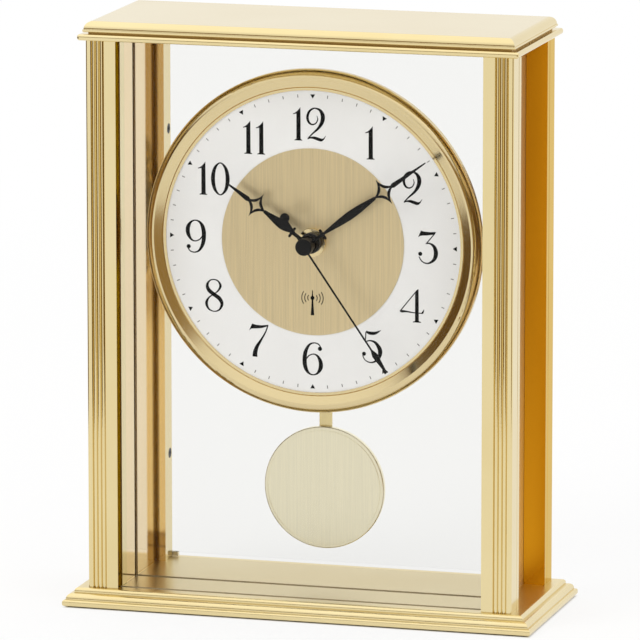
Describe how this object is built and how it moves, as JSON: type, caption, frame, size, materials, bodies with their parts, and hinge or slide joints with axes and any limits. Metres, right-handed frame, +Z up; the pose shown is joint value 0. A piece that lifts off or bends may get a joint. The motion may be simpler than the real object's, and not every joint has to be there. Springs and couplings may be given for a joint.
{
  "type": "desk pendulum clock",
  "caption": "Free-standing desk clock in a glazed gold metal case with fluted corner pillars, a round dial with three hands, a swinging pendulum and a rear door.",
  "frame": {"origin": "middle of the pad's underside, on the surface the clock stands on", "axes": "+X to the right seen from the dial, +Y to the rear door, +Z up"},
  "size_m": [0.188, 0.076, 0.23],
  "materials": {
    "gold_brass": "polished",
    "gold_anodised": "polished",
    "brushed_gold": "brushed",
    "clear_glass": "clear polished",
    "dial_ivory": "satin",
    "hand_black": "satin",
    "black_plastic": "matte",
    "gear_plastic": "satin",
    "steel": "brushed",
    "copper_wire": "enamelled wire",
    "board_green": "satin",
    "battery_label": "satin",
    "black_rubber": "matt"
  },
  "bodies": {
    "case": {"base_moulding": "gold_brass", "base_pad": "black_rubber", "floor_plates": "gold_brass", "base_screws": "steel", "pillar_front_left": "gold_anodised", "pillar_front_right": "gold_anodised", "pillar_rear_left": "gold_anodised", "pillar_rear_right": "gold_anodised", "side_panel_left": "gold_anodised", "side_panel_right": "gold_anodised", "top_plate": "gold_brass", "top_screws": "steel", "lid_spacer": "black_plastic", "top_lid": "gold_brass", "front_glass": "clear_glass", "dial_pane": "clear_glass", "door_jamb_left": "gold_anodised", "door_jamb_right": "gold_anodised", "jamb_screws": "hand_black", "catch_magnet": "steel", "bezel": "gold_brass", "dial_plate": "dial_ivory", "dial_centre": "brushed_gold", "hand_nut": "gold_brass", "movement_case": "black_plastic", "movement_cover": "black_plastic", "cover_screws": "steel", "middle_plate": "gear_plastic", "train_plate": "gear_plastic", "motor_stators": "steel", "motor_coils": "copper_wire", "circuit_board": "board_green", "antenna": "copper_wire", "battery": "battery_label", "battery_contacts": "steel", "pendulum_coil": "copper_wire", "pendulum_pin": "steel"},
    "rear_door": {"rear_door_glass": "clear_glass", "door_pivots": "gold_brass", "door_knob": "gold_brass", "catch_plate": "steel"},
    "minute_train": {"minute_hand": "hand_black", "centre_wheel": "gear_plastic"},
    "hour_train": {"hour_hand": "hand_black", "hour_wheel": "gear_plastic"},
    "second_train": {"second_hand": "hand_black", "seconds_wheel": "gear_plastic"},
    "motion_work": {"motion_wheel": "gear_plastic"},
    "minute_transfer": {"minute_transfer_wheel": "gear_plastic"},
    "minute_motor": {"minute_rotor": "gear_plastic"},
    "seconds_transfer": {"seconds_transfer_wheel": "gear_plastic"},
    "seconds_motor": {"seconds_rotor": "gear_plastic"},
    "battery_hatch": {"battery_door": "black_plastic"},
    "set_key": {"set_button": "gear_plastic"},
    "reset_key": {"reset_button": "gear_plastic"},
    "pendulum": {"pendulum_lever": "black_plastic", "drive_magnet": "steel", "pendulum_rod": "gold_brass", "pendulum_bob": "brushed_gold"}
  },
  "joints": [
    {"name": "minute_turn", "type": "hinge", "parent": "case", "child": "minute_train", "pos_m": [0, 0, 0.14465], "axis": [0, 1, 0], "continuous": true},
    {"name": "hour_turn", "type": "hinge", "parent": "case", "child": "hour_train", "pos_m": [0, 0, 0.14465], "axis": [0, 1, 0], "continuous": true},
    {"name": "motion_turn", "type": "hinge", "parent": "case", "child": "motion_work", "pos_m": [0, 0, 0.13465], "axis": [0, 1, 0], "continuous": true},
    {"name": "minute_transfer_turn", "type": "hinge", "parent": "case", "child": "minute_transfer", "pos_m": [-0.014, 0, 0.14465], "axis": [0, 1, 0], "continuous": true},
    {"name": "minute_rotor_turn", "type": "hinge", "parent": "case", "child": "minute_motor", "pos_m": [-0.014, 0, 0.13465], "axis": [0, 1, 0], "continuous": true},
    {"name": "second_turn", "type": "hinge", "parent": "case", "child": "second_train", "pos_m": [0, 0, 0.14465], "axis": [0, 1, 0], "continuous": true},
    {"name": "seconds_transfer_turn", "type": "hinge", "parent": "case", "child": "seconds_transfer", "pos_m": [0.012, 0, 0.14465], "axis": [0, 1, 0], "continuous": true},
    {"name": "seconds_rotor_turn", "type": "hinge", "parent": "case", "child": "seconds_motor", "pos_m": [0.012, 0, 0.13065], "axis": [0, 1, 0], "continuous": true},
    {"name": "pendulum_swing", "type": "hinge", "parent": "case", "child": "pendulum", "pos_m": [0, 0.006, 0.11065], "axis": [0, 1, 0], "range_deg": [-5, 5]},
    {"name": "rear_door_hinge", "type": "hinge", "parent": "case", "child": "rear_door", "pos_m": [-0.0712, 0.0307, 0.1151], "axis": [0, 0, 1], "range_deg": [0, 105]},
    {"name": "battery_door_slide", "type": "slide", "parent": "case", "child": "battery_hatch", "axis": [0, 0, 1], "range_m": [0, 0.018]},
    {"name": "set_button_press", "type": "slide", "parent": "case", "child": "set_key", "axis": [0, -1, 0], "range_m": [0, 0.0006], "stiffness_N_per_m": 300},
    {"name": "reset_button_press", "type": "slide", "parent": "case", "child": "reset_key", "axis": [0, -1, 0], "range_m": [0, 0.0006], "stiffness_N_per_m": 300}
  ],
  "couplings": [
    {"joint": "hour_turn", "follows": "minute_turn", "ratio": 0.083333},
    {"joint": "motion_turn", "follows": "minute_turn", "ratio": -0.33333},
    {"joint": "minute_transfer_turn", "follows": "minute_turn", "ratio": -6},
    {"joint": "minute_rotor_turn", "follows": "minute_turn", "ratio": 24},
    {"joint": "seconds_transfer_turn", "follows": "second_turn", "ratio": -5},
    {"joint": "seconds_rotor_turn", "follows": "second_turn", "ratio": 30}
  ]
}
